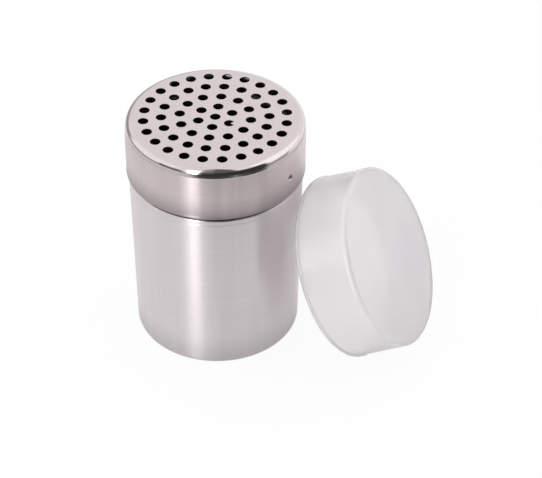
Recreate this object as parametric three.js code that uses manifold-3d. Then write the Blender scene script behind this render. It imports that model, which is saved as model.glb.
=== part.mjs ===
// Steel spice shaker with a perforated lid, and its plastic dust cap leaning against it.
// Millimetres, +Z up. The origin is on the can's axis, on the surface that the can stands on.
// The can and the lid are each drawn from one sheet of steel. The cap is moulded.

import * as THREE from "three";
import * as BufferGeometryUtils from "three/addons/utils/BufferGeometryUtils.js";
import Module from "manifold-3d";

const wasm = await Module();
wasm.setup();

// The sheet that both steel pieces are drawn from
const SHEET = 0.5;

// Can: a body that widens a little towards its shoulder
const CAN_BASE_RADIUS = 33.1;
const CAN_TOP_RADIUS = 34.0;
const CAN_WALL_TOP = 70.85;
const CAN_BASE_BEND = 2.0;

// Shoulder: the wall steps in a little, runs up as a short band, and bends in to the neck
const BAND_INSET = 0.25;
const BAND_STEP_RISE = 0.5;
const BAND_HEIGHT = 2.55;
const SHOULDER_BEND = 0.7;
const NECK_INSET = 1.8;
const NECK_FILLET = 0.5;
const LIP_ROLL_RADIUS = 0.9;

// Two short cam beads, rolled out of the neck, that the lid's lugs turn under
const CAM_WIDTH = 3.2;
const CAM_LID_GAP = 0.7;
const CAM_RISE = 1.8;
const CAM_COUNT = 2;
const CAM_GAP_DEGREES = 24;

// Lid: a flat perforated plate, a round rim and a skirt that flares to its edge
const LID_ABOVE_WALL = 4.1;
const LID_HEIGHT = 22.75;
const LID_FIT = 0.5;
const LID_FLARE = 0.25;
const LID_RIM_RADIUS = 2.8;
const LID_SEAT_GAP = 0.3;

// Lugs: two dents pressed into the skirt from outside
const LUG_ABOVE_EDGE = 8.55;
const LUG_RADIUS = 1.3;
const LUG_TIP_ROUND = 0.5;
const LUG_AZIMUTH_DEGREES = -33.6;
const LUG_NECK_GAP = 0.5;
const LUG_CAM_GAP = 0.3;
const DENT_MOUTH_ROUND = 0.3;
const DENT_TIP_SHARE = 0.5;

// Perforations: one in the middle and rings round it, six more in each ring
const HOLE_RADIUS = 2.0;
const HOLE_MARGIN = 2.35;
const HOLE_RINGS = 4;
const HOLES_PER_RING_STEP = 6;
const HOLE_PHASE_DEGREES = 22.1;

// Dust cap: a shallow moulded cup that fits over the lid's skirt
const CAP_WALL = 1.5;
const CAP_FIT = 0.1;
const CAP_DRAFT = 0.4;
const CAP_LIP = 0.3;
const CAP_LIP_WIDTH = 1.4;
const CAP_LIP_ROUND = 0.3;
const CAP_DEPTH = 22.1;
const CAP_FACE_ROUND = 1.8;

// How the cap leans: its axis rises, points past the can, and its rim meets the wall off its top
const CAP_LEAN_DEGREES = 28.4;
const CAP_HEADING_DEGREES = -17.5;
const CAP_TOUCH_DEGREES = -6.2;
const CAP_TOUCH_GAP = 0.3;

// How finely round forms are divided
const TURN_SEGMENTS = 60;
const HOLE_SEGMENTS = 14;
const LUG_SEGMENTS = 12;
const BEND_STEPS = 4;
const SHOULDER_STEPS = 3;
const ROLL_STEPS = 6;
const EDGE_STEPS = 2;
const CAM_STEPS = 16;

// How far a cutting shape runs past what it cuts, and how near two points are to be one
const OVERRUN = 1.0;
const WELD_SHARE = 0.001;

// Sizes that follow from the ones above
const bandRadius = CAN_TOP_RADIUS - BAND_INSET;
const neckRadius = CAN_TOP_RADIUS - NECK_INSET;
const shoulderTop = CAN_WALL_TOP + BAND_HEIGHT;
const neckBottom = shoulderTop + NECK_FILLET;
const lidEdge = CAN_WALL_TOP + LID_ABOVE_WALL;
const lidTop = lidEdge + LID_HEIGHT;
const rimHeight = lidTop - LID_RIM_RADIUS;
const lidEdgeRadius = CAN_TOP_RADIUS + LID_FIT + SHEET;
const lidTopRadius = lidEdgeRadius - LID_FLARE;
const plateRadius = lidTopRadius - LID_RIM_RADIUS;
const holePitch = (plateRadius - HOLE_MARGIN - HOLE_RADIUS) / HOLE_RINGS;
const lugHeight = lidEdge + LUG_ABOVE_EDGE;
const camHeight = lidTopRadius - SHEET - CAM_LID_GAP - neckRadius;
const camBottom = lugHeight + LUG_RADIUS + LUG_CAM_GAP + CAM_WIDTH / 2;
const capWallRadius = lidEdgeRadius + CAP_FIT + CAP_WALL;
const capFaceRadius = capWallRadius - CAP_DRAFT;
const capLipRadius = capWallRadius + CAP_LIP;

const radians = THREE.MathUtils.degToRad;

// Points of a round bend about (x, y), from one angle to another, in degrees
function bend(x, y, radius, from, to, steps = BEND_STEPS) {
  const points = [];
  for (let i = 0; i <= steps; i += 1) {
    const angle = radians(from + ((to - from) * i) / steps);
    points.push(new THREE.Vector2(x + radius * Math.cos(angle), y + radius * Math.sin(angle)));
  }
  return points;
}

function point(radius, height) {
  return new THREE.Vector2(radius, height);
}

// A profile of radii and heights, turned about +Z. It starts and ends on the axis.
function turned(profile, segments = TURN_SEGMENTS) {
  const geometry = new THREE.LatheGeometry(profile, segments);
  geometry.rotateX(Math.PI / 2);
  return geometry;
}

// A closed surface as a solid that can be joined and cut
function solidFrom(geometry) {
  const bare = geometry.clone();
  bare.deleteAttribute("normal");
  bare.deleteAttribute("uv");
  const merged = BufferGeometryUtils.mergeVertices(bare, SHEET * WELD_SHARE);
  const vertProperties = new Float32Array(merged.attributes.position.array);
  const triVerts = new Uint32Array(merged.index.array);
  return new wasm.Manifold(new wasm.Mesh({ numProp: 3, vertProperties, triVerts }));
}

function geometryFrom(solid) {
  const { vertProperties, triVerts } = solid.getMesh();
  const geometry = new THREE.BufferGeometry();
  geometry.setAttribute("position", new THREE.BufferAttribute(vertProperties, 3));
  geometry.setIndex(new THREE.BufferAttribute(triVerts, 1));
  geometry.computeVertexNormals();
  return geometry;
}

// Outer or inner line of the can's sheet, from the base up to the neck, inset by a thickness
function canSheetLine(inset) {
  const bendRadius = bandRadius - SHOULDER_BEND;
  const bendHeight = shoulderTop - SHOULDER_BEND;
  return [
    point(0, inset),
    ...bend(CAN_BASE_RADIUS - CAN_BASE_BEND, CAN_BASE_BEND, CAN_BASE_BEND - inset, -90, 0),
    point(CAN_TOP_RADIUS - inset, CAN_WALL_TOP),
    point(bandRadius - inset, CAN_WALL_TOP + BAND_STEP_RISE),
    ...bend(bendRadius, bendHeight, SHOULDER_BEND - inset, 0, 90, SHOULDER_STEPS),
    ...bend(neckRadius + NECK_FILLET, neckBottom, NECK_FILLET + inset, 270, 180, EDGE_STEPS),
  ];
}

// The height of the rolled lip's centre, where the lid's plate or the inside of its rim rests on it
function lipCentreHeight(lipRadius) {
  const room = LID_RIM_RADIUS - SHEET - LIP_ROLL_RADIUS - LID_SEAT_GAP;
  const underRim = Math.max(0, lipRadius - plateRadius);
  return rimHeight + (underRim > 0 ? Math.sqrt(room ** 2 - underRim ** 2) : room);
}

// The can's shell: out along the outer line, over the rolled lip and back down inside
function canProfile() {
  const lipRadius = neckRadius - LIP_ROLL_RADIUS;
  const lipHeight = lipCentreHeight(lipRadius);
  const tuck = THREE.MathUtils.radToDeg(Math.acos((LIP_ROLL_RADIUS - SHEET) / LIP_ROLL_RADIUS));
  return [
    ...canSheetLine(0),
    ...bend(lipRadius, lipHeight, LIP_ROLL_RADIUS, 0, 360 - tuck, ROLL_STEPS),
    ...canSheetLine(SHEET).reverse(),
  ];
}

// One cam bead: a rounded rib that winds down round the neck and fades out at both ends.
// Inset gives the same bead one sheet further in, for the groove behind it.
function camBead(startDegrees, inset) {
  const span = 360 / CAM_COUNT - CAM_GAP_DEGREES;
  const root = neckRadius - inset - SHEET / 2;
  const halfWidth = CAM_WIDTH / 2 - inset;
  const section = [];
  for (let i = 0; i <= BEND_STEPS; i += 1) {
    section.push((Math.PI * i) / BEND_STEPS);
  }
  const perSection = section.length + 2;
  const positions = [];
  for (let step = 0; step <= CAM_STEPS; step += 1) {
    const share = step / CAM_STEPS;
    const azimuth = radians(startDegrees - span * share);
    const middle = camBottom + CAM_RISE * (1 - share);
    const crest = camHeight * Math.sqrt(Math.sin(Math.PI * share));
    const corners = section.map((turn) => [
      neckRadius - inset + crest * Math.sin(turn),
      middle - halfWidth * Math.cos(turn),
    ]);
    const ring = [[root, middle - halfWidth], ...corners, [root, middle + halfWidth]];
    for (const [radius, height] of ring) {
      positions.push(radius * Math.cos(azimuth), radius * Math.sin(azimuth), height);
    }
  }
  const index = [];
  for (let step = 0; step < CAM_STEPS; step += 1) {
    for (let side = 0; side < perSection; side += 1) {
      const a = step * perSection + side;
      const b = step * perSection + ((side + 1) % perSection);
      index.push(a, b, a + perSection);
      index.push(b, b + perSection, a + perSection);
    }
  }
  const last = CAM_STEPS * perSection;
  for (let side = 1; side < perSection - 1; side += 1) {
    index.push(0, side + 1, side);
    index.push(last, last + side, last + side + 1);
  }
  const geometry = new THREE.BufferGeometry();
  geometry.setAttribute("position", new THREE.Float32BufferAttribute(positions, 3));
  geometry.setIndex(index);
  return geometry;
}

// The can: one drawn shell with a rolled lip and the two cam beads pressed out of its neck
function makeCan() {
  let can = solidFrom(turned(canProfile()));
  for (let cam = 0; cam < CAM_COUNT; cam += 1) {
    const start = LUG_AZIMUTH_DEGREES + (360 * cam) / CAM_COUNT - CAM_GAP_DEGREES / 2;
    can = can.add(solidFrom(camBead(start, 0)));
  }
  for (let cam = 0; cam < CAM_COUNT; cam += 1) {
    const start = LUG_AZIMUTH_DEGREES + (360 * cam) / CAM_COUNT - CAM_GAP_DEGREES / 2;
    can = can.subtract(solidFrom(camBead(start, SHEET)));
  }
  return geometryFrom(can);
}

// The lid's shell: plate, rim, skirt, its rounded edge, and back up inside
function lidProfile() {
  const edge = SHEET / 2;
  return [
    point(0, lidTop - SHEET),
    ...bend(plateRadius, rimHeight, LID_RIM_RADIUS - SHEET, 90, 0),
    ...bend(lidEdgeRadius - edge, lidEdge + edge, edge, 180, 360),
    ...bend(plateRadius, rimHeight, LID_RIM_RADIUS, 0, 90, ROLL_STEPS),
    point(0, lidTop),
  ];
}

// Where the holes stand: the middle one, then rings that start at one shared angle
function holePlaces() {
  const places = [point(0, 0)];
  for (let ring = 1; ring <= HOLE_RINGS; ring += 1) {
    const count = ring * HOLES_PER_RING_STEP;
    for (let hole = 0; hole < count; hole += 1) {
      const angle = radians(HOLE_PHASE_DEGREES + (360 * hole) / count);
      places.push(point(ring * holePitch * Math.cos(angle), ring * holePitch * Math.sin(angle)));
    }
  }
  return places;
}

// All the punches at once, as one geometry of separate round pins
function holePunches() {
  const length = SHEET + 2 * OVERRUN;
  const pins = holePlaces().map((place) => {
    const pin = new THREE.CylinderGeometry(HOLE_RADIUS, HOLE_RADIUS, length, HOLE_SEGMENTS);
    pin.rotateX(Math.PI / 2);
    pin.translate(place.x, place.y, lidTop - SHEET / 2);
    return pin;
  });
  return BufferGeometryUtils.mergeGeometries(pins);
}

// The skirt's outer radius at a height
function skirtRadius(height) {
  return lidTopRadius + (LID_FLARE * (rimHeight - height)) / (rimHeight - lidEdge);
}

// A shape made along +Z, laid so that it points at the axis from the skirt, at a lug
function facingInward(geometry, radius, azimuthDegrees) {
  geometry.rotateY(-Math.PI / 2);
  geometry.translate(radius, 0, lugHeight);
  geometry.rotateZ(radians(azimuthDegrees));
  return geometry;
}

// How far a lug's tip stands in from the skirt's outer surface
function lugReach() {
  return skirtRadius(lugHeight) - neckRadius - LUG_NECK_GAP;
}

// The lug as it stands inside the skirt, a round stud with a softened tip
function lugStud(azimuthDegrees) {
  const inset = SHEET / 2;
  const reach = lugReach() - inset;
  const profile = [
    point(0, 0),
    point(LUG_RADIUS, 0),
    ...bend(LUG_RADIUS - LUG_TIP_ROUND, reach - LUG_TIP_ROUND, LUG_TIP_ROUND, 0, 90, EDGE_STEPS),
    point(0, reach),
  ];
  return facingInward(turned(profile, LUG_SEGMENTS), skirtRadius(lugHeight) - inset, azimuthDegrees);
}

// The dent that the press left outside, one sheet inside the lug, with a flared mouth
function lugDent(azimuthDegrees) {
  const radius = LUG_RADIUS - SHEET;
  const mouth = radius + DENT_MOUTH_ROUND;
  const depth = lugReach() - SHEET;
  const profile = [
    point(0, -OVERRUN),
    point(mouth, -OVERRUN),
    point(mouth, 0),
    point(radius, DENT_MOUTH_ROUND),
    point(radius, depth - radius * DENT_TIP_SHARE),
    point(radius * DENT_TIP_SHARE, depth),
    point(0, depth),
  ];
  return facingInward(turned(profile, LUG_SEGMENTS), skirtRadius(lugHeight), azimuthDegrees);
}

// The lid: one drawn shell, perforated, with its lugs pressed in
function makeLid() {
  let lid = solidFrom(turned(lidProfile()));
  lid = lid.subtract(solidFrom(holePunches()));
  for (let lug = 0; lug < CAM_COUNT; lug += 1) {
    const azimuth = LUG_AZIMUTH_DEGREES + (360 * lug) / CAM_COUNT;
    lid = lid.add(solidFrom(lugStud(azimuth)));
    lid = lid.subtract(solidFrom(lugDent(azimuth)));
  }
  return geometryFrom(lid);
}

// The cap's cup, with its rim at height zero and its closed face above
function capProfile() {
  const innerRound = CAP_FACE_ROUND - CAP_WALL / 2;
  const innerFace = CAP_DEPTH - CAP_WALL;
  const faceCentre = capFaceRadius - CAP_FACE_ROUND;
  const innerCentre = capFaceRadius - CAP_WALL - innerRound;
  const rimInner = capWallRadius - CAP_WALL + CAP_LIP_ROUND;
  const lipCentre = capLipRadius - CAP_LIP_ROUND;
  return [
    point(0, innerFace),
    ...bend(innerCentre, innerFace - innerRound, innerRound, 90, 0),
    ...bend(rimInner, CAP_LIP_ROUND, CAP_LIP_ROUND, 180, 270, EDGE_STEPS),
    ...bend(lipCentre, CAP_LIP_ROUND, CAP_LIP_ROUND, 270, 360, EDGE_STEPS),
    ...bend(lipCentre, CAP_LIP_WIDTH - CAP_LIP_ROUND, CAP_LIP_ROUND, 0, 90, EDGE_STEPS),
    point(capWallRadius, CAP_LIP_WIDTH + CAP_LIP_ROUND),
    ...bend(faceCentre, CAP_DEPTH - CAP_FACE_ROUND, CAP_FACE_ROUND, 0, 90),
    point(0, CAP_DEPTH),
  ];
}

function makeCap() {
  return geometryFrom(solidFrom(turned(capProfile())));
}

// The can's outer radius at a height on its wall
function canRadius(height) {
  const share = (height - CAN_BASE_BEND) / (CAN_WALL_TOP - CAN_BASE_BEND);
  return CAN_BASE_RADIUS + (CAN_TOP_RADIUS - CAN_BASE_RADIUS) * share;
}

// Where the leaning cap's rim centre stands. The rim's rounded edge rests on the ground at its
// lowest point and meets the can's wall at the touch angle, counted round the rim from its top.
// Seen from above, that edge is an ellipse, and its normal at the touch goes through the can's axis.
function capPlace() {
  const lean = radians(CAP_LEAN_DEGREES);
  const heading = radians(CAP_HEADING_DEGREES);
  const touch = radians(CAP_TOUCH_DEGREES);
  const edgeRadius = capLipRadius - CAP_LIP_ROUND;
  const halfDepth = edgeRadius * Math.sin(lean);
  const height = CAP_LIP_ROUND + edgeRadius * Math.cos(lean);
  const touchHeight = height + edgeRadius * Math.cos(lean) * Math.cos(touch);
  const offset = new THREE.Vector2(-halfDepth * Math.cos(touch), edgeRadius * Math.sin(touch));
  const normal = new THREE.Vector2(-Math.cos(touch) / halfDepth, Math.sin(touch) / edgeRadius).normalize();
  const reach = canRadius(touchHeight) + CAP_TOUCH_GAP + CAP_LIP_ROUND;
  const centre = offset.addScaledVector(normal, reach).negate();
  centre.rotateAround(point(0, 0), heading);
  const back = CAP_LIP_ROUND;
  return new THREE.Vector3(
    centre.x - back * Math.cos(lean) * Math.cos(heading),
    centre.y - back * Math.cos(lean) * Math.sin(heading),
    height - back * Math.sin(lean),
  );
}

function steel(color, roughness) {
  return new THREE.MeshStandardMaterial({ color, metalness: 1, roughness });
}

const object = new THREE.Group();

const can = new THREE.Mesh(makeCan(), steel("#c4bec0", 0.3));
can.name = "can";
object.add(can);

const lid = new THREE.Mesh(makeLid(), steel("#cbc2c1", 0.32));
lid.name = "perforated_lid";
object.add(lid);

const capMaterial = new THREE.MeshStandardMaterial({ color: "#e2dfe3", metalness: 0, roughness: 0.4 });
const cap = new THREE.Mesh(makeCap(), capMaterial);
cap.name = "dust_cap";
cap.position.copy(capPlace());
cap.rotation.set(0, Math.PI / 2 - radians(CAP_LEAN_DEGREES), radians(CAP_HEADING_DEGREES), "ZYX");
object.add(cap);

export default object;
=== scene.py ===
"""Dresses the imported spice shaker: a drawn steel can, its perforated lid and a leaning dust cap.

Sizes in the classes are millimetres, as on a maker's drawing. Blender's own objects are in metres.
"""
import logging
from dataclasses import dataclass, field
from enum import Enum
from functools import partial
from math import acos, asin, atan2, cos, degrees, dist, exp, pi, radians, sin, tan
from typing import Any, Callable

import bpy
import numpy as np
from mathutils import Matrix, Vector
from mathutils.geometry import delaunay_2d_cdt


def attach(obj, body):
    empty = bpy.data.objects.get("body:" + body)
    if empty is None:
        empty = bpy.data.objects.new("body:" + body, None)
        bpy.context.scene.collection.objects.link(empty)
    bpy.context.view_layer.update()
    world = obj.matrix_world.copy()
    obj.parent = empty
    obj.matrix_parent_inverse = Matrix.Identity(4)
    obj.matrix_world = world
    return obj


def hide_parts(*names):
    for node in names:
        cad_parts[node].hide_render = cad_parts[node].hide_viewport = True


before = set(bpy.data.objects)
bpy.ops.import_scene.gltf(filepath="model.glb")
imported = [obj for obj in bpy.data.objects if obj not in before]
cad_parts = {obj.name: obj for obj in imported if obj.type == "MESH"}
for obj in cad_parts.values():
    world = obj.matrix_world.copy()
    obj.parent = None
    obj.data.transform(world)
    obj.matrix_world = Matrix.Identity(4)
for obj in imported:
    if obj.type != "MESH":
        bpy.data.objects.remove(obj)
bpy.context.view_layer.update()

log = logging.getLogger("spice_shaker")

MM = 0.001
WHOLE_TURN = 2 * pi
# Angles of the points round a piece, apart from the extra ones at the lid's lugs
EVEN_TURN = np.linspace(0, WHOLE_TURN, 240, endpoint=False)
# Rings of a flat disc, as shares of its radius
DISC_RINGS = (0.25, 0.6, 0.98)
# How near two points of a profile are to be one, and how wide a support band beside a bend is
SAME_POINT = 1e-4
SUPPORT = 0.35

# A noise stays mostly between these two, and each finer layer has this share of the one before
NOISE_LOW, NOISE_HIGH = 0.3, 0.7
NOISE_LAYER = 0.6
# A quarter of a turn: the gloss spreads at right angles to the scratches
ACROSS_THE_SCRATCHES = 0.25
# Takes the height out of a place or a direction
ALONG_GROUND = (1.0, 1.0, 0.0)
WHITE = (1.0, 1.0, 1.0, 1.0)

Tree = bpy.types.NodeTree
Socket = bpy.types.NodeSocket
Array = np.ndarray
Pair = tuple[float, float]
Profile = list[Pair]
Bulge = Callable[[float], Array]


class Part(Enum):
    """The three loose pieces: the body each rides on, its CAD node and its material slot."""

    CAN = ("can", "can", "can_steel")
    LID = ("lid", "perforated_lid", "lid_steel")
    CAP = ("cap", "dust_cap", "cap_plastic")

    def __init__(self, body: str, node: str, slot: str) -> None:
        """Keeps the three names apart."""
        self.body, self.node, self.slot = body, node, slot


class Way(Enum):
    """Which way a finish changes over its piece."""

    OUTWARDS = "distance from the can's axis"
    UPWARDS = "height above the can's base"


def linear(hex_colour: str) -> tuple[float, float, float, float]:
    """Turns an sRGB hex colour into the linear values that a shader takes.

    Args:
        hex_colour: Six hex digits after a hash sign.

    Returns:
        Linear red, green and blue, and an alpha of 1.
    """
    low_slope, knee, offset, power = 12.92, 0.04045, 0.055, 2.4
    shares = [int(hex_colour[i:i + 2], 16) / 255 for i in (1, 3, 5)]
    bent = [share / low_slope if share <= knee else ((share + offset) / (1 + offset)) ** power
            for share in shares]
    return (*bent, 1.0)


def add_node(tree: Tree, kind: str, inputs: dict[Any, Any] | None = None, out: Any = 0,
             **settings: Any) -> Any:
    """Adds a node with its settings and its inputs.

    Args:
        tree: The tree that gets the node.
        kind: Blender's name for the type of node, without ShaderNode before it.
        inputs: By the input's name or number, its value or the output that feeds it.
        out: Name or number of the output that is wanted.
        **settings: Properties of the node.

    Returns:
        That output, or None from a node that has none.
    """
    node = tree.nodes.new("ShaderNode" + kind)
    for name, value in settings.items():
        setattr(node, name, value)
    for name, value in (inputs or {}).items():
        if isinstance(value, Socket):
            tree.links.new(value, node.inputs[name])
        else:
            node.inputs[name].default_value = value
    return node.outputs[out] if len(node.outputs) else None


def drawn_out_noise(tree: Tree, round_mm: float, up_mm: float, detail: float = 2.0) -> Socket:
    """Noise with one size round the object and another up it.

    Args:
        tree: The material's tree.
        round_mm: How long a mark is across the ground plane.
        up_mm: How long a mark is upwards.
        detail: How many finer layers it has.

    Returns:
        The noise's value.
    """
    place = add_node(tree, "TexCoord", out="Object")
    scale = (1 / (round_mm * MM), 1 / (round_mm * MM), 1 / (up_mm * MM))
    stretched = add_node(tree, "VectorMath", {0: place, 1: scale}, operation="MULTIPLY")
    return add_node(tree, "TexNoise", {"Vector": stretched, "Scale": 1.0, "Detail": detail,
                                       "Roughness": NOISE_LAYER})


def shifted(tree: Tree, pattern: Socket, spread: float, middle: float = 1.0) -> Socket:
    """A value that a pattern moves up and down.

    Args:
        tree: The material's tree.
        pattern: The noise that moves it.
        spread: How far it goes to either side.
        middle: The value where the noise is at its mean.

    Returns:
        The moved value.
    """
    inputs = {"Value": pattern, "From Min": NOISE_LOW, "From Max": NOISE_HIGH,
              "To Min": middle - spread, "To Max": middle + spread}
    return add_node(tree, "MapRange", inputs, clamp=False)


def graded(tree: Tree, way: Way, range_mm: Pair, first: float, last: float = 1.0) -> Socket:
    """A value that goes softly from one to another over the piece.

    Args:
        tree: The material's tree.
        way: Which way it changes.
        range_mm: Where the change starts and where it ends.
        first: The value at the start.
        last: The value at the end.

    Returns:
        The value.
    """
    place = add_node(tree, "TexCoord", out="Object")
    if way is Way.UPWARDS:
        distance = add_node(tree, "SeparateXYZ", {0: place}, out="Z")
    else:
        flat = add_node(tree, "VectorMath", {0: place, 1: ALONG_GROUND}, operation="MULTIPLY")
        distance = add_node(tree, "VectorMath", {0: flat}, out="Value", operation="LENGTH")
    start, end = range_mm
    inputs = {"Value": distance, "From Min": start * MM, "From Max": end * MM,
              "To Min": first, "To Max": last}
    return add_node(tree, "MapRange", inputs, interpolation_type="SMOOTHSTEP")


def toned(tree: Tree, colour: str | Socket, *tones: Socket) -> Socket:
    """A colour that tones make lighter or darker, one after the other.

    Args:
        tree: The material's tree.
        colour: A hex colour, or the output that gives the colour.
        *tones: What it is multiplied by.

    Returns:
        The toned colour.
    """
    if isinstance(colour, str):
        colour = linear(colour)[:3]
    for tone in tones:
        colour = add_node(tree, "VectorMath", {0: colour, "Scale": tone}, operation="SCALE")
    return colour


def overlaid(tree: Tree, base: float | Socket, mask: Socket, value: float) -> Socket:
    """A base value with another in its place where a mask is 1.

    Args:
        tree: The tree that gets the node.
        base: The value where the mask is 0, or the output that gives it.
        mask: The mask.
        value: The value where the mask is 1.

    Returns:
        The value.
    """
    return add_node(tree, "MapRange", {"Value": mask, "To Min": base, "To Max": value})


def seen_by(tree: Tree, *kinds: str) -> Socket:
    """A value of 1 for rays of the given kinds, and 0 for others.

    Args:
        tree: The tree that gets the nodes.
        *kinds: The rays, by the Light Path node's names.

    Returns:
        The value.
    """
    total = add_node(tree, "LightPath", out=kinds[0])
    for kind in kinds[1:]:
        ray = add_node(tree, "LightPath", out=kind)
        total = add_node(tree, "Math", {0: total, 1: ray}, operation="MAXIMUM")
    return total


def placed(name: str, data: bpy.types.ID) -> bpy.types.Object:
    """Makes an object of a mesh, a lamp or a camera and sets it in the scene.

    Args:
        name: Name of the object.
        data: The mesh, lamp or camera.

    Returns:
        The object.
    """
    thing = bpy.data.objects.new(name, data)
    bpy.context.scene.collection.objects.link(thing)
    return thing


def circle(turns: Array) -> Array:
    """Points on a circle of radius 1 at angles in radians, as rows of x and y."""
    return np.stack([np.cos(turns), np.sin(turns)], 1)


def arc(x: float, y: float, radius: float, start: float, end: float, steps: int) -> Profile:
    """Points of a round bend.

    Args:
        x: Distance of the bend's centre from the axis.
        y: Height of the bend's centre.
        radius: Radius of the bend.
        start: First angle in degrees, from outwards towards up.
        end: Last angle in degrees.
        steps: How many short runs it is drawn in.

    Returns:
        The points, as distance from the axis and height.
    """
    turns = np.radians(np.linspace(start, end, steps + 1))
    return [(x + radius * cos(t), y + radius * sin(t)) for t in turns]


def run(start: Pair, end: Pair, rows: int = 2) -> Profile:
    """Points along a straight run, with a support point near each end so that it shades flat.

    Args:
        start: Where it starts. This point itself isn't given.
        end: Where it ends. Nor is this one.
        rows: How many points it has, the two support points included.

    Returns:
        The points between start and end.
    """
    margin = SUPPORT / dist(start, end)
    return [(start[0] + (end[0] - start[0]) * share, start[1] + (end[1] - start[1]) * share)
            for share in np.linspace(margin, 1 - margin, rows)]


def joined(*runs: Profile) -> Profile:
    """Sets runs end to end and leaves out points that repeat the one before.

    Args:
        *runs: The runs, in order.

    Returns:
        One profile.
    """
    profile: Profile = []
    for place in sum(runs, []):
        if not profile or dist(place, profile[-1]) > SAME_POINT:
            profile.append(place)
    return profile


@dataclass
class Shell:
    """Points and faces of one closed shell, in millimetres, gathered band by band."""

    azimuths: Array
    points: list[Array] = field(default_factory=list)
    faces: list[tuple[int, ...]] = field(default_factory=list)
    looks: list[int] = field(default_factory=list)

    def add_level(self, flat: Array, height: float) -> Array:
        """Adds points that are all at one height.

        Args:
            flat: Rows of x and y.
            height: Their height.

        Returns:
            The numbers that the points got.
        """
        first = sum(map(len, self.points))
        self.points.append(np.column_stack([flat, np.full(len(flat), height)]))
        return np.arange(first, first + len(flat))

    def ring(self, radius: float | Array, height: float) -> Array:
        """Adds a ring round the axis, with one radius or one for each azimuth."""
        return self.add_level(circle(self.azimuths) * np.reshape(radius, (-1, 1)), height)

    def add_faces(self, corners: Array, look: int) -> None:
        """Adds faces, as rows of three or four point numbers, in one of the materials."""
        self.faces.extend(map(tuple, corners.tolist()))
        self.looks.extend([look] * len(corners))

    def band(self, first: Array, second: Array, look: int) -> None:
        """Joins two rings of as many points with a closed band."""
        quads = [first, np.roll(first, -1), np.roll(second, -1), second]
        self.add_faces(np.stack(quads, 1), look)

    def close_on_axis(self, height: float, ring: Array, look: int, starts: bool) -> None:
        """Closes the shell with a fan of triangles round a point on the axis.

        Args:
            height: Height of the point.
            ring: Numbers of the ring's points.
            look: Which of the piece's materials it has.
            starts: Whether the profile starts there, or else ends there.
        """
        hub = np.full(len(ring), self.add_level(np.zeros((1, 2)), height)[0])
        after = np.roll(ring, -1)
        self.add_faces(np.stack([hub, after, ring] if starts else [hub, ring, after], 1), look)

    def turn(self, profile: Profile, look: int, after: Array, bulge: Bulge | None = None) -> Array:
        """Turns an open profile round the axis.

        Args:
            profile: Distance from the axis and height of each ring.
            look: Which of the piece's materials it has.
            after: The ring that it goes on from.
            bulge: Gives how far the surface stands out at a height, for each azimuth.

        Returns:
            The last ring.
        """
        for radius, height in profile:
            ring = self.ring(radius + (bulge(height) if bulge else 0), height)
            self.band(after, ring, look)
            after = ring
        return after

    def piece(self, name: str, part: Part, materials: list[bpy.types.Material],
              place: Matrix = Matrix.Identity(4)) -> bpy.types.Object:
        """Makes the mesh object and sets it in the frame.

        Args:
            name: Name of the object.
            part: Which loose piece it is.
            materials: Its materials, in the order of the looks.
            place: Where it stands, in metres.

        Returns:
            The object.
        """
        mesh = bpy.data.meshes.new(name)
        mesh.from_pydata((np.concatenate(self.points) * MM).tolist(), [], self.faces)
        mesh.transform(place)
        for material in materials:
            mesh.materials.append(material)
        mesh.polygons.foreach_set("material_index", self.looks)
        mesh.shade_smooth()
        mesh.update()
        piece = placed(name, mesh)
        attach(piece, part.body)
        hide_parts(part.node)
        return piece


@dataclass(frozen=True)
class Finish:
    """What a surface is made of and how it was worked. Each kind has its own shader."""

    name: str

    def shader(self, tree: Tree) -> Socket:
        """Builds the shader in a material's tree and gives its output."""
        raise NotImplementedError

    def material(self) -> bpy.types.Material:
        """Makes a material with this finish.

        Returns:
            The material.
        """
        material = bpy.data.materials.new(self.name)
        material.use_nodes = True
        tree = material.node_tree
        tree.nodes.clear()
        add_node(tree, "OutputMaterial", {"Surface": self.shader(tree)})
        return material


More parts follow.
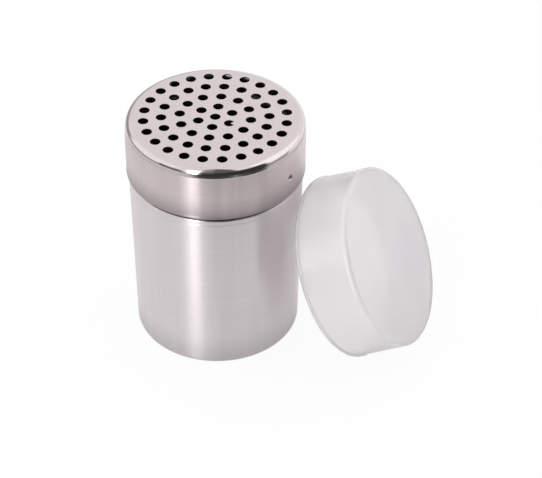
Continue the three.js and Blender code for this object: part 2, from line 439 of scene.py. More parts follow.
@dataclass(frozen=True)
class SatinSteel(Finish):
    """Stainless steel sheet, deep drawn, then satin brushed on a spindle.

    The fine scratches run round the piece. They draw each light out into a tall soft streak across
    them and keep it narrow along them, and faint upright bands are left from the drawing. Towards
    its foot the colour is painted darker, as painted shade. The colour is painted darker still in
    what is pressed in deep, as painted shade in the dents.
    """

    colour: str
    roughness: float
    anisotropy: float
    # Real scratches are about 0.05 mm wide. These are as coarse as they need to be to show.
    scratch_mm: float = 0.5
    scratch_length_mm: float = 25.0
    scratch_depth_mm: float = 0.002
    scratch_layers: float = 3.0
    scratch_tone: float = 0.03
    band_mm: float = 5.0
    band_length_mm: float = 150.0
    band_tone: float = 0.03
    # From and to: the painted shade at the foot by height, the painted shade in the dents by
    # distance from the axis
    painted_foot_shade_mm: Pair = (0.0, 16.0)
    painted_foot_shade_tone: float = 0.8
    painted_dent_shade_mm: Pair | None = None
    painted_dent_shade_tone: float = 0.25

    def shader(self, tree: Tree) -> Socket:
        """Builds brushed steel with painted shade at its foot and in its dents.

        Args:
            tree: The material's tree.

        Returns:
            The shader's output.
        """
        scratches = drawn_out_noise(tree, self.scratch_length_mm, self.scratch_mm,
                                    self.scratch_layers)
        bands = drawn_out_noise(tree, self.band_mm, self.band_length_mm)
        # The graded tones are painted shade: darker towards the foot, and darker in the dents
        tones = [shifted(tree, scratches, self.scratch_tone), shifted(tree, bands, self.band_tone),
                 graded(tree, Way.UPWARDS, self.painted_foot_shade_mm, self.painted_foot_shade_tone)]
        # Painted shade: the colour is darkened where the dents are pressed in deep
        if self.painted_dent_shade_mm:
            tones.append(graded(tree, Way.OUTWARDS, self.painted_dent_shade_mm, self.painted_dent_shade_tone))
        depth = self.scratch_depth_mm * MM
        return add_node(tree, "BsdfPrincipled", {
            "Base Color": toned(tree, self.colour, *tones), "Metallic": 1.0,
            "Roughness": self.roughness, "Anisotropic": self.anisotropy,
            "Anisotropic Rotation": ACROSS_THE_SCRATCHES,
            "Normal": add_node(tree, "Bump", {"Distance": depth, "Height": scratches}),
            "Tangent": add_node(tree, "Tangent", direction_type="RADIAL", axis="Z")})


@dataclass(frozen=True)
class PressedSteel(Finish):
    """Stainless steel sheet: as rolled on the plate, polished by the drawing die on the rim.

    The flat plate is a little mottled and has a soft sheen. The rim mirrors its surroundings
    sharply, and its foot is painted darker: painted shade for the dark line that it mirrors there.
    sharply, and is duller at its foot, where the skirt's brush ran over it.
    """

    name: str = "pressed_steel_plate_and_polished_rim"
    plate_colour: str = "#ccc2c1"
    rim_colour: str = "#cdc5c4"
    plate_roughness: float = 0.32
    rim_roughness: float = 0.10
    # From and to, by distance from the axis: the rim's polish, and the painted shade at the rim's
    # foot
    rim_mm: Pair = (32.2, 33.1)
    painted_rim_shade_mm: Pair = (34.4, 34.62)
    painted_rim_shade_tone: float = 0.78
    # The steel's grain is about 0.05 mm across. Its mottle is as coarse as it needs to be to show.
    mottle_mm: float = 0.6
    mottle_tone: float = 0.07
    mottle_depth_mm: float = 0.004
    cloud_mm: float = 9.0
    cloud_tone: float = 0.02

    def shader(self, tree: Tree) -> Socket:
        """Builds mottled steel that turns into a mirror over the rim.

        Args:
            tree: The material's tree.

        Returns:
            The shader's output.
        """
        rim = graded(tree, Way.OUTWARDS, self.rim_mm, 0.0)
        # The Mix node tells its inputs and outputs for colours only by their numbers
        colours = {0: rim, 6: linear(self.plate_colour), 7: linear(self.rim_colour)}
        colour = add_node(tree, "Mix", colours, out=2, data_type="RGBA")
        mottle = drawn_out_noise(tree, self.mottle_mm, self.mottle_mm)
        clouds = drawn_out_noise(tree, self.cloud_mm, self.cloud_mm, 1.0)
        # The last tone is painted shade: the rim's foot is darkened
        tones = (shifted(tree, mottle, self.mottle_tone), shifted(tree, clouds, self.cloud_tone),
                 graded(tree, Way.OUTWARDS, self.painted_rim_shade_mm, 1.0, self.painted_rim_shade_tone))
        flatness = add_node(tree, "Math", {0: 1.0, 1: rim}, operation="SUBTRACT")
        depth = self.mottle_depth_mm * MM
        bump = add_node(tree, "Bump", {"Strength": flatness, "Distance": depth, "Height": mottle})
        return add_node(tree, "BsdfPrincipled", {
            "Base Color": toned(tree, colour, *tones), "Metallic": 1.0, "Normal": bump,
            "Roughness": overlaid(tree, self.plate_roughness, rim, self.rim_roughness)})


@dataclass(frozen=True)
class UnpolishedSteel(Finish):
    """The inside of both steel pieces: left as drawn, with the dull grey film of the drawing oil.

    It is soft, so nothing inside mirrors. The lid's inside is given a darker colour: painted
    shade, so that the lid's holes look deep.
    """

    colour: str
    roughness: float
    film_mm: float = 6.0
    film_tone: float = 0.12

    def shader(self, tree: Tree) -> Socket:
        """Builds dull steel with an uneven film, longer up the wall than round it.

        Args:
            tree: The material's tree.

        Returns:
            The shader's output.
        """
        film = drawn_out_noise(tree, self.film_mm, self.film_mm * 2)
        colour = toned(tree, self.colour, shifted(tree, film, self.film_tone))
        roughness = shifted(tree, film, self.film_tone / 2, self.roughness)
        return add_node(tree, "BsdfPrincipled",
                        {"Base Color": colour, "Metallic": 1.0, "Roughness": roughness})


@dataclass(frozen=True)
class MilkyPolypropylene(Finish):
    """Unfilled polypropylene, injection moulded in a polished tool.

    Light goes into it and comes out again nearby, so it looks milky and has no dark side. Its skin
    is smooth and slightly wavy, with small sharp glints broken up by the waves.
    """

    name: str = "milky_moulded_polypropylene"
    colour: str = "#fdf7fb"
    ior: float = 1.49
    roughness: float = 0.1
    see_through: float = 0.55
    scatter: float = 1.0
    scatter_mm: float = 5.0
    wave_mm: float = 14.0
    wave_depth_mm: float = 0.05
    cloud_mm: float = 20.0
    cloud_tone: float = 0.015

    def shader(self, tree: Tree) -> Socket:
        """Builds the cloudy plastic with its wavy skin.

        Args:
            tree: The material's tree.

        Returns:
            The shader's output.
        """
        waves = drawn_out_noise(tree, self.wave_mm, self.wave_mm, 1.0)
        clouds = drawn_out_noise(tree, self.cloud_mm, self.cloud_mm, 1.0)
        colour = toned(tree, self.colour, shifted(tree, clouds, self.cloud_tone))
        bump = add_node(tree, "Bump", {"Distance": self.wave_depth_mm * MM, "Height": waves})
        return add_node(tree, "BsdfPrincipled", {
            "Base Color": colour, "Roughness": self.roughness, "IOR": self.ior, "Normal": bump,
            "Transmission Weight": self.see_through, "Subsurface Weight": self.scatter,
            "Subsurface Scale": self.scatter_mm * MM, "Subsurface Radius": (1.0, 1.0, 1.0)})


@dataclass(frozen=True)
class PaperFloor(Finish):
    """Matt white studio paper: white to the eye, pale grey in mirrors, with a soft shadow on it."""

    name: str = "pale_studio_floor"
    colour: str = "#f2f2f2"
    glow: float = 0.93
    mirrored_glow: float = 0.6

    def shader(self, tree: Tree) -> Socket:
        """Builds paper that glows for the camera, and less so in mirrors.

        Args:
            tree: The material's tree.

        Returns:
            The shader's output.
        """
        paint = add_node(tree, "BsdfDiffuse", {"Color": linear(self.colour)})
        glow = add_node(tree, "Emission", {"Color": WHITE, "Strength": 1.0})
        seen = seen_by(tree, "Is Camera Ray", "Is Transmission Ray")
        share = overlaid(tree, 0.0, seen, self.glow)
        share = overlaid(tree, share, seen_by(tree, "Is Glossy Ray"), self.mirrored_glow)
        return add_node(tree, "MixShader", {0: share, 1: paint, 2: glow})


@dataclass
class DrawnCan:
    """The can: flat base, drawn wall, shoulder, neck with two rolled cam beads, rolled lip."""

    sheet: float = 0.5
    base_radius: float = 33.1
    top_radius: float = 34.0
    wall_top: float = 70.85
    base_bend: float = 2.0
    band_inset: float = 0.07
    band_step: float = 0.6
    band_step_rows: int = 7
    band_height: float = 2.55
    shoulder_bend: float = 0.45
    neck_fillet: float = 0.5
    neck_radius: float = 32.2
    lip_roll: float = 0.9
    lip_height: float = 96.0
    cam_width: float = 3.2
    cam_height: float = 1.35
    cam_rise: float = 1.8
    cam_bottom: float = 86.7
    cam_count: int = 2
    cam_start_degrees: float = -45.6
    cam_span_degrees: float = 156.0
    cam_row: float = 0.25
    # The finish's default darkens the can's colour towards its foot: painted shade for the shadow
    # it mirrors there
    finish: SatinSteel = SatinSteel("satin_drawn_steel_can", "#d8d1d3", 0.33, 0.9)
    inside: UnpolishedSteel = UnpolishedSteel("unpolished_steel_can_inside", "#6c6765", 0.5)

    def cam_bulge(self, height: float) -> Array:
        """How far the cam beads stand out of the neck at a height.

        Args:
            height: Height above the base.

        Returns:
            The bulge at each azimuth.
        """
        bulge = np.zeros_like(EVEN_TURN)
        for cam in range(self.cam_count):
            start = self.cam_start_degrees + 360 * cam / self.cam_count
            share = np.mod(start - np.degrees(EVEN_TURN), 360) / self.cam_span_degrees
            middle = self.cam_bottom + self.cam_rise * (1 - share)
            across = np.clip(np.abs(height - middle) / (self.cam_width / 2), 0, 1)
            crest = self.cam_height * np.sqrt(np.sin(pi * np.clip(share, 0, 1)))
            bulge += np.where(share < 1, crest * np.cos(across * pi / 2) ** 2, 0)
        return bulge

    def sheet_line(self, inset: float) -> Profile:
        """The line from the base's flat to the neck's foot.

        Args:
            inset: How far inside the outer surface it runs.

        Returns:
            The profile.
        """
        base_centre = self.base_radius - self.base_bend
        band_radius = self.top_radius - self.band_inset
        bend_height = self.wall_top + self.band_height - self.shoulder_bend
        step = [(band_radius - inset + self.band_inset * (1 + cos(pi * share)) / 2,
                 self.wall_top + self.band_step * share)
                for share in np.linspace(0, 1, self.band_step_rows)]
        bend = arc(band_radius - self.shoulder_bend, bend_height, self.shoulder_bend - inset,
                   0, 90, steps=8)
        fillet = arc(self.neck_radius + self.neck_fillet, self.neck_foot(),
                     self.neck_fillet + inset, 270, 180, steps=6)
        return joined(
            [(share * base_centre, inset) for share in DISC_RINGS],
            arc(base_centre, self.base_bend, self.base_bend - inset, -90, 0, steps=10),
            run((self.base_radius - inset, self.base_bend), step[0], rows=8),
            step, run(step[-1], bend[0]), bend, fillet,
        )

    def neck_foot(self) -> float:
        """The height at which the neck starts, above the shoulder's fillet."""
        return self.wall_top + self.band_height + self.neck_fillet

    def neck_heights(self) -> list[float]:
        """Heights of the neck's rows, close together where the beads are.

        Returns:
            The heights, from the foot up.
        """
        low = self.cam_bottom - self.cam_width / 2
        high = self.cam_bottom + self.cam_rise + self.cam_width / 2
        foot = self.neck_foot() + SUPPORT
        beads = np.arange(low - self.cam_row, high + 2 * self.cam_row, self.cam_row)
        return [foot, (foot + low) / 2, *beads, self.lip_height - SUPPORT]

    def build(self) -> bpy.types.Object:
        """Builds the can and sets it in the frame.

        Returns:
            The can.
        """
        can = Shell(EVEN_TURN)
        outside, inside = 0, 1
        tuck = degrees(acos((self.lip_roll - self.sheet) / self.lip_roll))
        heights = self.neck_heights()
        line = self.sheet_line(0)
        first = can.ring(*line[0])
        last = can.turn(line[1:], outside, first)
        can.close_on_axis(0, first, outside, starts=True)
        last = can.turn([(self.neck_radius, z) for z in heights], outside, last, self.cam_bulge)
        roll = arc(self.neck_radius - self.lip_roll, self.lip_height, self.lip_roll,
                   0, 360 - tuck, steps=24)
        last = can.turn(roll, outside, last)
        under_roll = [z for z in reversed(heights) if z < roll[-1][1] - SUPPORT]
        last = can.turn([(self.neck_radius - self.sheet, z) for z in under_roll], inside, last,
                        self.cam_bulge)
        last = can.turn(self.sheet_line(self.sheet)[::-1], inside, last)
        can.close_on_axis(self.sheet, last, inside, starts=False)
        return can.piece("can_shell", Part.CAN, [self.finish.material(), self.inside.material()])


@dataclass
class PlateNet:
    """The plate's flat as triangles, and which of its points lie on the rim and on each hole."""

    points: Array
    triangles: Array
    rim: Array
    holes: list[Array]


@dataclass
class PerforatedPlate:
    """The lid's flat plate with its punched holes."""

    radius: float = 31.7
    hole_radius: float = 2.0
    hole_pitch: float = 6.9
    hole_rings: int = 4
    holes_per_ring_step: int = 6
    hole_phase_degrees: float = 22.1
    hole_points: int = 48
    edge_round: float = 0.08
    edge_turns_degrees: tuple[int, ...] = (30, 60, 90)
    support_gap: float = 0.35
    # One hole of the first ring kept a sliver of its slug: a blunt point that reaches in from +X
    sliver_hole: int = 6
    sliver_half_width: float = 1.0
    sliver_tip_x: float = 0.5
    sliver_tip_radius: float = 0.17
    sliver_tip_points: int = 9
    sliver_side_points: int = 7

    def places(self) -> list[Pair]:
        """Centres of the holes.

        Returns:
            The x and y of the middle one, then of each ring's.
        """
        places = [(0.0, 0.0)]
        for ring in range(1, self.hole_rings + 1):
            count, away = ring * self.holes_per_ring_step, ring * self.hole_pitch
            for hole in range(count):
                angle = radians(self.hole_phase_degrees + 360 * hole / count)
                places.append((away * cos(angle), away * sin(angle)))
        return places

    def round_outline(self, grow: float = 0.0) -> Array:
        """Outline of a clean hole about its own centre, larger than the hole by grow."""
        turns = np.linspace(0, WHOLE_TURN, self.hole_points, endpoint=False)
        return (self.hole_radius + grow) * circle(turns)

    def sliver_outline(self) -> Array:
        """Outline of the hole that kept a sliver, about its own centre.

        Returns:
            Rows of x and y: round the hole, in along the sliver, round its tip, and back out.
        """
        corner_turn = asin(self.sliver_half_width / self.hole_radius)
        corner = np.array([self.hole_radius * cos(corner_turn), self.sliver_half_width])
        tip = np.array([self.sliver_tip_x + self.sliver_tip_radius, 0.0])
        to_tangent = acos(self.sliver_tip_radius / dist(corner, tip))
        tangent_turn = atan2(*(corner - tip)[::-1]) + to_tangent
        big = np.linspace(corner_turn, WHOLE_TURN - corner_turn, self.hole_points)
        small = np.linspace(WHOLE_TURN - tangent_turn, tangent_turn, self.sliver_tip_points)
        nose = tip + self.sliver_tip_radius * circle(small)
        shares = np.linspace(0, 1, self.sliver_side_points)[1:-1, None]
        lower = corner * (1, -1) + (nose[0] - corner * (1, -1)) * shares
        upper = nose[-1] + (corner - nose[-1]) * shares
        return np.concatenate([self.hole_radius * circle(big), lower, nose, upper])

    @staticmethod
    def grown(outline: Array, distance: float) -> Array:
        """An outline moved away from the hole's middle, into the metal.

        Args:
            outline: Rows of x and y, anticlockwise.
            distance: How far it moves.

        Returns:
            The moved outline.
        """
        along = np.roll(outline, -1, 0) - np.roll(outline, 1, 0)
        along /= np.linalg.norm(along, axis=1)[:, None]
        return outline + distance * np.stack([along[:, 1], -along[:, 0]], 1)

    def outlines(self) -> list[Array]:
        """Each hole's outline, in its place."""
        return [(self.sliver_outline() if n == self.sliver_hole else self.round_outline()) + place
                for n, place in enumerate(self.places())]

    def net(self, azimuths: Array) -> PlateNet:
        """Meshes the flat between the rim and the holes.

        Args:
            azimuths: The angles of the rim's points.

        Returns:
            The net.
        """
        rim = circle(azimuths)
        holes = [self.grown(outline, self.edge_round) for outline in self.outlines()]
        supports = [self.round_outline(self.support_gap)[::2] + place for place in self.places()]
        loops = [rim * self.radius, rim[::2] * (self.radius - self.support_gap), *holes, *supports]
        ends = np.cumsum([len(loop) for loop in loops])
        rows = [row.tolist() for row in np.split(np.arange(ends[-1]), ends[:-1])]
        edges = [edge for row in rows for edge in zip(row, row[1:] + row[:1])]
        flat = [Vector(p) for p in np.concatenate(loops).tolist()]
        found = delaunay_2d_cdt(flat, edges, [], 0, SAME_POINT / 10)
        points, triangles = np.array([tuple(p) for p in found[0]]), np.array(found[2])
        number = {source: new for new, sources in enumerate(found[3]) for source in sources}
        on_rim, _, *others = [np.array([number[source] for source in row]) for row in rows]
        kept = ~self._in_holes(points[triangles].mean(1), holes)
        return PlateNet(points, triangles[kept], on_rim, others[:len(holes)])

    @staticmethod
    def _in_holes(places: Array, holes: list[Array]) -> Array:
        """Tells which places lie in a hole, by how many of its edges a ray crosses.

        Args:
            places: Rows of x and y.
            holes: The holes' outlines.

        Returns:
            True or false for each place.
        """
        inside = np.zeros(len(places), bool)
        for outline in holes:
            after = np.roll(outline, -1, 0)
            y = places[:, 1, None]
            spans = (outline[:, 1] > y) != (after[:, 1] > y)
            rise = np.where(after[:, 1] == outline[:, 1], 1, after[:, 1] - outline[:, 1])
            crossing = outline[:, 0] + (y - outline[:, 1]) / rise * (after[:, 0] - outline[:, 0])
            inside |= (spans & (places[:, 0, None] < crossing)).sum(1) % 2 == 1
        return inside


@dataclass
class PerforatedLid:
    """The lid: perforated plate, round rim, and a skirt that flares to its edge, with two lugs."""

    sheet: float = 0.5
    top: float = 97.7
    edge: float = 74.95
    top_radius: float = 34.75
    belly: float = 0.15
    edge_flare: float = 0.2
    edge_flare_height: float = 0.9
    rim_radius: float = 2.8
    rim_cone: float = 1.5
    rim_cone_degrees: float = 8.0
    lug_height: float = 83.5
    lug_count: int = 2
    lug_azimuth_degrees: float = -33.6
    lug_tip_from_axis: float = 32.7
    dent_mouth: float = 1.5
    dent_tip: float = 0.45
    dent_inside_grow: float = 0.4
    dish_depth: float = 0.25
    dish_radius: float = 1.7
    lug_block: float = 3.5
    lug_step: float = 0.16
    rows_under_block: int = 7
    rows_over_block: int = 6
    plate: PerforatedPlate = field(default_factory=PerforatedPlate)
    # The skirt's colour is darkened towards its edge and in the lugs' dents: painted shade
    skirt_finish: SatinSteel = SatinSteel(
        "satin_drawn_steel_skirt", "#cfc3c5", 0.33, 0.88, painted_foot_shade_mm=(73.0, 86.0), painted_foot_shade_tone=0.56,
        painted_dent_shade_mm=(33.8, 34.4), band_tone=0.05)
    top_finish: PressedSteel = PressedSteel()
    # Darker than the can's inside: painted shade, so that the holes look deep
    inside: UnpolishedSteel = UnpolishedSteel("unpolished_steel_lid_inside_painted_shade", "#4a4746", 0.55)

    def __post_init__(self) -> None:
        """Sets the angles that the lid is turned at, closer together where the lugs are."""
        lugs = [self.lug_azimuth_degrees + 360 * n / self.lug_count for n in range(self.lug_count)]
        self.lugs = np.mod(np.radians(lugs), WHOLE_TURN)
        reach, step = self.lug_block / self.top_radius, self.lug_step / self.top_radius
        clear = np.all([np.abs(EVEN_TURN - lug) > reach for lug in self.lugs], axis=0)
        close = [lug + np.arange(-reach, reach + step / 2, step) for lug in self.lugs]
        self.azimuths = np.sort(np.concatenate([EVEN_TURN[clear], *close]))

    def skirt_radius(self, height: float) -> float:
        """The skirt's outer radius: a soft belly that the draw left, turned out at the edge.

        Args:
            height: Height above the can's base.

        Returns:
            The radius there.
        """
        foot = self.rim_foot()
        share = min(max((foot - height) / (foot - self.edge), 0), 1)
        turned_out = exp(-((height - self.edge) / self.edge_flare_height) ** 2)
        bellied = self.top_radius + self.belly * sin(pi * share)
        return bellied + self.edge_flare * turned_out

    def rim_foot(self) -> float:
        """The height at which the polished rim's short cone meets the skirt."""
        rise = self.rim_radius * sin(radians(self.rim_cone_degrees))
        return self.top - self.rim_radius + rise - self.rim_cone

    def rim(self) -> Profile:
        """The polished rim's line.

        Returns:
            The line up a short cone and round onto the plate.
        """
        turn = radians(self.rim_cone_degrees)
        centre = self.top_radius - self.rim_cone * tan(turn) - self.rim_radius * cos(turn)
        bend = arc(centre, self.top - self.rim_radius, self.rim_radius,
                   self.rim_cone_degrees, 90, steps=20)
        foot = (self.top_radius, self.rim_foot())
        return joined([foot], run(foot, bend[0]), bend)

    def lug_bulge(self, grow: float, height: float) -> Array:
        """How far the lugs' dents go in at a height, as a bulge below zero.

        Args:
            grow: How much wider they are than outside.
            height: Height above the can's base.

        Returns:
            The bulge at each azimuth.
        """
        depth = self.skirt_radius(self.lug_height) - self.sheet - self.lug_tip_from_axis
        nearest = np.min([np.abs(self.azimuths - lug) for lug in self.lugs], axis=0)
        away = np.hypot(nearest * self.top_radius, height - self.lug_height)
        slope = self.dent_mouth - self.dent_tip
        share = np.clip((self.dent_mouth + grow - away) / slope, 0, 1)
        dish = self.dish_depth * np.exp(-(away / self.dish_radius) ** 2)
        return -dish - (depth - dish) * share * share * (3 - 2 * share)

    def skirt_heights(self) -> list[float]:
        """Heights of the skirt's rows, close together where the lugs are.

        Returns:
            The heights, from the edge up.
        """
        low, high = self.edge + self.sheet / 2, self.rim_foot()
        block = np.arange(self.lug_height - self.lug_block, self.lug_height + self.lug_block,
                          self.lug_step)
        below = np.linspace(low + SUPPORT, block[0] - 1, self.rows_under_block)
        above = np.linspace(block[-1] + 1, high - SUPPORT, self.rows_over_block)
        return [*below, *block, *above]

    def punch(self, lid: Shell, inside: int, outside: int) -> tuple[Array, Array]:
        """Adds the plate's two faces and the walls of its holes.

        Args:
            lid: The shell that gets them.
            inside: The look of the underside.
            outside: The look of the top and the holes' edges.

        Returns:
            The rim's ring under the plate, and the one on top.
        """
        net = self.plate.net(self.azimuths)
        bottom = self.top - self.sheet
        under, over = lid.add_level(net.points, bottom), lid.add_level(net.points, self.top)
        lid.add_faces(under[net.triangles[:, ::-1]], inside)
        lid.add_faces(over[net.triangles], outside)
        edge = self.plate.edge_round
        rows = [(edge * (1 - sin(turn)), self.top - edge * (1 - cos(turn)))
                for turn in np.radians(self.plate.edge_turns_degrees)]
        rows += [(0.0, self.top - self.sheet / 2), (0.0, bottom + edge)]
        for outline, numbers in zip(self.plate.outlines(), net.holes):
            last = over[numbers]
            for grow, height in rows:
                ring = lid.add_level(self.plate.grown(outline, grow), height)
                lid.band(last, ring, outside if height > self.top - edge / 2 else inside)
                last = ring
            lid.band(last, under[numbers], inside)
        return under[net.rim], over[net.rim]

    def build(self) -> bpy.types.Object:
        """Builds the lid and sets it in the frame.

        Returns:
            The lid.
        """
        lid = Shell(self.azimuths)
        top, skirt, inside = 0, 1, 2
        under, over = self.punch(lid, inside, top)
        half = self.sheet / 2
        heights = self.skirt_heights()
        inner_rim = arc(self.top_radius - self.rim_radius, self.top - self.rim_radius,
                        self.rim_radius - self.sheet, 90, 0, steps=10)
        last = lid.turn(inner_rim[1:], inside, under)
        inner = [(self.skirt_radius(z) - self.sheet, z) for z in reversed(heights)]
        last = lid.turn(inner, inside, last, partial(self.lug_bulge, self.dent_inside_grow))
        edge = arc(self.skirt_radius(self.edge) - half, self.edge + half, half, 180, 360, steps=8)
        last = lid.turn(edge, skirt, last)
        outer = [(self.skirt_radius(z), z) for z in heights]
        last = lid.turn(outer, skirt, last, partial(self.lug_bulge, 0))
        rim = self.rim()
        last = lid.turn(rim[:1], skirt, last)
        last = lid.turn(rim[1:-1], top, last)
        lid.band(last, over, top)
        finishes = (self.top_finish, self.skirt_finish, self.inside)
        return lid.piece("lid_shell", Part.LID, [finish.material() for finish in finishes])


@dataclass
class DustCap:
    """The moulded cap: a shallow cup with a small lip, leaning on the can, its mouth towards it."""

    wall: float = 1.5
    wall_radius: float = 36.6
    face_radius: float = 36.11
    lip_radius: float = 36.9
    lip_width: float = 1.4
    lip_round: float = 0.3
    depth: float = 22.1
    face_round: float = 1.8
    lean_degrees: float = 28.4
    heading_degrees: float = -17.5
    rim_centre: tuple[float, float, float] = (50.8532, -10.0218, 32.3525)
    finish: MilkyPolypropylene = MilkyPolypropylene()

    def profile(self) -> Profile:
        """The cup's line.

        Returns:
            The line from inside its face, round its rim and back over its face.
        """
        inner_round = self.face_round - self.wall / 2
        inner_face = self.depth - self.wall
        inner_centre = self.face_radius - self.wall - inner_round
        inner_foot = self.wall_radius - self.wall + self.lip_round
        lip_centre = self.lip_radius - self.lip_round
        face_centre = self.face_radius - self.face_round
        inner_bend = arc(inner_centre, inner_face - inner_round, inner_round, 90, 0, steps=8)
        foot_bend = arc(inner_foot, self.lip_round, self.lip_round, 180, 270, steps=4)
        lip_top = (self.wall_radius, self.lip_width + self.lip_round)
        face_bend = arc(face_centre, self.depth - self.face_round, self.face_round, 0, 90, steps=12)
        return joined(
            [(share * inner_centre, inner_face) for share in DISC_RINGS],
            inner_bend, run(inner_bend[-1], foot_bend[0], rows=6), foot_bend,
            arc(lip_centre, self.lip_round, self.lip_round, 270, 360, steps=4),
            arc(lip_centre, self.lip_width - self.lip_round, self.lip_round, 0, 90, steps=4),
            [lip_top], run(lip_top, face_bend[0], rows=6), face_bend,
            [(share * face_centre, self.depth) for share in reversed(DISC_RINGS)],
        )

    def build(self) -> bpy.types.Object:
        """Builds the cap and sets it in the frame, leaning.

        Returns:
            The cap.
        """
        cap, look = Shell(EVEN_TURN), 0
        line = self.profile()
        first = cap.ring(*line[0])
        last = cap.turn(line[1:], look, first)
        cap.close_on_axis(self.depth - self.wall, first, look, starts=True)
        cap.close_on_axis(self.depth, last, look, starts=False)
        turned = Matrix.Rotation(radians(self.heading_degrees), 4, "Z")
        tipped = Matrix.Rotation(radians(90 - self.lean_degrees), 4, "Y")
        place = Matrix.Translation(Vector(self.rim_centre) * MM) @ turned @ tipped
        return cap.piece("dust_cap_cup", Part.CAP, [self.finish.material()], place)


@dataclass
class StripLamp:
    """A tall flat lamp at the front left that faces the object."""

    name: str = "key_strip"
    target: tuple[float, float, float] = (0.02, 0.0, 0.05)
    azimuth_degrees: float = -115.5
    elevation_degrees: float = 15.0
    distance_m: float = 1.0
    width_m: float = 0.21
    height_m: float = 0.95
    brightness: float = 6.0

    def build(self) -> None:
        """Hangs the lamp."""
        turn, rise = radians(self.azimuth_degrees), radians(self.elevation_degrees)
        away = Vector((cos(turn) * cos(rise), sin(turn) * cos(rise), sin(rise)))
        light = bpy.data.lights.new(self.name, "AREA")
        light.shape = "RECTANGLE"
        light.size, light.size_y = self.width_m, self.height_m
        light.energy = self.brightness * pi * self.width_m * self.height_m
        lamp = placed(self.name, light)
        lamp.location = Vector(self.target) + away * self.distance_m
        lamp.rotation_euler = (-away).to_track_quat("-Z", "Y").to_euler()
        lamp.visible_camera = False


@dataclass(frozen=True)
class RoomPatch:
    """A part of the room with its own brightness, as seen from the object. Angles are degrees."""

    name: str
    azimuth: float
    half_width: float
    elevation: float
    half_height: float
    level: float
    soft: float = 8.0

    def mask(self, tree: Tree, flat: Socket, elevation: Socket) -> Socket:
        """A soft-edged 1 inside the patch.

        Args:
            tree: The world's tree.
            flat: The direction along the ground, one long.
            elevation: The direction's height in radians.

        Returns:
            The mask.
        """
        turn, rise = radians(self.azimuth), radians(self.elevation)
        middle = (cos(turn), sin(turn), 0.0)
        towards = add_node(tree, "VectorMath", {0: flat, 1: middle}, out="Value",
                           operation="DOT_PRODUCT")
        aside = add_node(tree, "Math", {0: towards}, operation="ARCCOSINE")
        above = add_node(tree, "Math", {0: elevation, 1: rise}, operation="SUBTRACT")
        away = add_node(tree, "Math", {0: above}, operation="ABSOLUTE")
        sides = {}
        for n, (angle, half) in enumerate([(aside, self.half_width), (away, self.half_height)]):
            inputs = {"Value": angle, "From Min": radians(half + self.soft / 2),
                      "From Max": radians(half - self.soft / 2)}
            sides[n] = add_node(tree, "MapRange", inputs, interpolation_type="SMOOTHSTEP")
        return add_node(tree, "Math", sides, operation="MULTIPLY", label=self.name)


ROOM = (
    RoomPatch("bright ceiling", 0.0, 200.0, 90.0, 38.0, 1.1, 16.0),
    RoomPatch("tent wall on the left", -175.0, 36.0, 24.0, 25.0, 1.3),
    RoomPatch("tent wall on the right", 1.0, 34.0, 36.0, 25.0, 1.5),
    RoomPatch("gap below the tent walls", 0.0, 200.0, -15.0, 17.0, 0.5, 6.0),
    RoomPatch("backdrop's foot", 50.0, 42.0, -15.0, 17.0, 1.3, 12.0),
    RoomPatch("dimmer backdrop on the left", 122.0, 28.0, 0.0, 20.0, 0.45, 12.0),
    RoomPatch("dark beside the lamp", -143.0, 15.0, -8.0, 22.0, 0.2),
    RoomPatch("dark room in front", -69.0, 44.0, -4.0, 37.0, 0.05),
    RoomPatch("dark room above the camera", -82.0, 21.0, 56.0, 30.0, 0.16),
    RoomPatch("pale thing beside the camera", -97.0, 6.0, 24.0, 10.0, 0.22, 6.0),
    RoomPatch("pale thing above the camera", -100.0, 9.0, 66.0, 22.0, 0.4, 6.0),
)


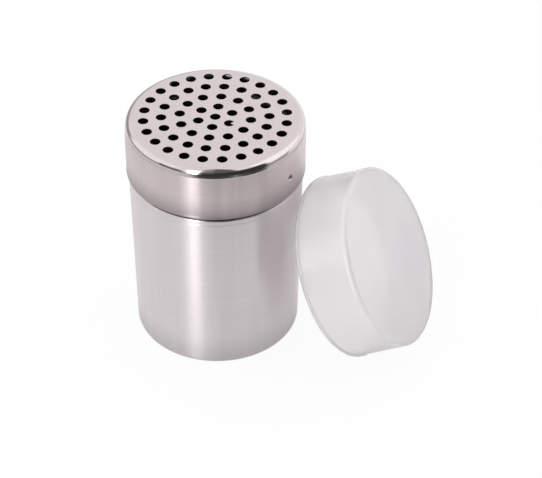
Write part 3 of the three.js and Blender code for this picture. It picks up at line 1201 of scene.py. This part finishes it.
@dataclass
class Studio:
    """A pale floor in a pale room, the lamp and the camera. Places are in metres."""

    floor_outline: tuple[Pair, ...] = (
        (-0.32, -0.25), (0.11, -0.25), (0.25, -0.08), (0.26, 1.2), (-0.32, 1.2))
    floor_finish: PaperFloor = PaperFloor()
    room_level: float = 1.15
    camera_place: tuple[float, float, float] = (0.021767, -0.545851, 0.480189)
    camera_down_degrees: float = 39.0235
    camera_roll_degrees: float = 0.5745
    lens_mm: float = 115.578
    sensor_mm: float = 36.0
    key: StripLamp = field(default_factory=StripLamp)

    def camera(self) -> None:
        """Sets the camera where the photograph was taken from."""
        data = bpy.data.cameras.new("camera")
        data.sensor_fit = "HORIZONTAL"
        data.sensor_width, data.lens = self.sensor_mm, self.lens_mm
        camera = placed("camera", data)
        tilt = Matrix.Rotation(radians(90 - self.camera_down_degrees), 4, "X")
        roll = Matrix.Rotation(radians(self.camera_roll_degrees), 4, "Z")
        camera.matrix_world = Matrix.Translation(Vector(self.camera_place)) @ tilt @ roll
        bpy.context.scene.camera = camera

    def floor(self) -> None:
        """Lays the floor."""
        mesh = bpy.data.meshes.new("floor")
        corners = [(x, y, 0.0) for x, y in self.floor_outline]
        mesh.from_pydata(corners, [], [tuple(range(len(corners)))])
        mesh.materials.append(self.floor_finish.material())
        floor = placed("floor", mesh)

    def surroundings(self) -> None:
        """Paints the room: a pale tent round the object, open and dark where the camera stands."""
        world = bpy.data.worlds.new("studio")
        bpy.context.scene.world = world
        world.use_nodes = True
        tree = world.node_tree
        tree.nodes.clear()
        direction = add_node(tree, "TexCoord", out="Generated")
        flat = add_node(tree, "VectorMath", {0: direction, 1: ALONG_GROUND}, operation="MULTIPLY")
        flat = add_node(tree, "VectorMath", {0: flat}, operation="NORMALIZE")
        height = add_node(tree, "SeparateXYZ", {0: direction}, out="Z")
        elevation = add_node(tree, "Math", {0: height}, operation="ARCSINE")
        level: float | Socket = self.room_level
        for patch in ROOM:
            level = overlaid(tree, level, patch.mask(tree, flat, elevation), patch.level)
        seen = seen_by(tree, "Is Camera Ray", "Is Transmission Ray")
        strength = overlaid(tree, level, seen, 1.0)
        room = add_node(tree, "Background", {"Color": WHITE, "Strength": strength})
        add_node(tree, "OutputWorld", {"Surface": room})

    def build(self) -> None:
        """Builds the studio."""
        bpy.context.scene.view_settings.view_transform = "Standard"
        self.camera()
        self.floor()
        self.surroundings()
        self.key.build()
        log.info("studio: floor, %d parts of the room, and %s", len(ROOM), self.key.name)


def main() -> None:
    """Builds the studio and the three pieces, and logs how many faces each piece has."""
    logging.basicConfig(level=logging.INFO, format="%(name)s: %(message)s")
    Studio().build()
    for maker in (DrawnCan(), PerforatedLid(), DustCap()):
        piece = maker.build()
        log.info("%s: %d faces", piece.name, len(piece.data.polygons))


if __name__ == "__main__":
    main()
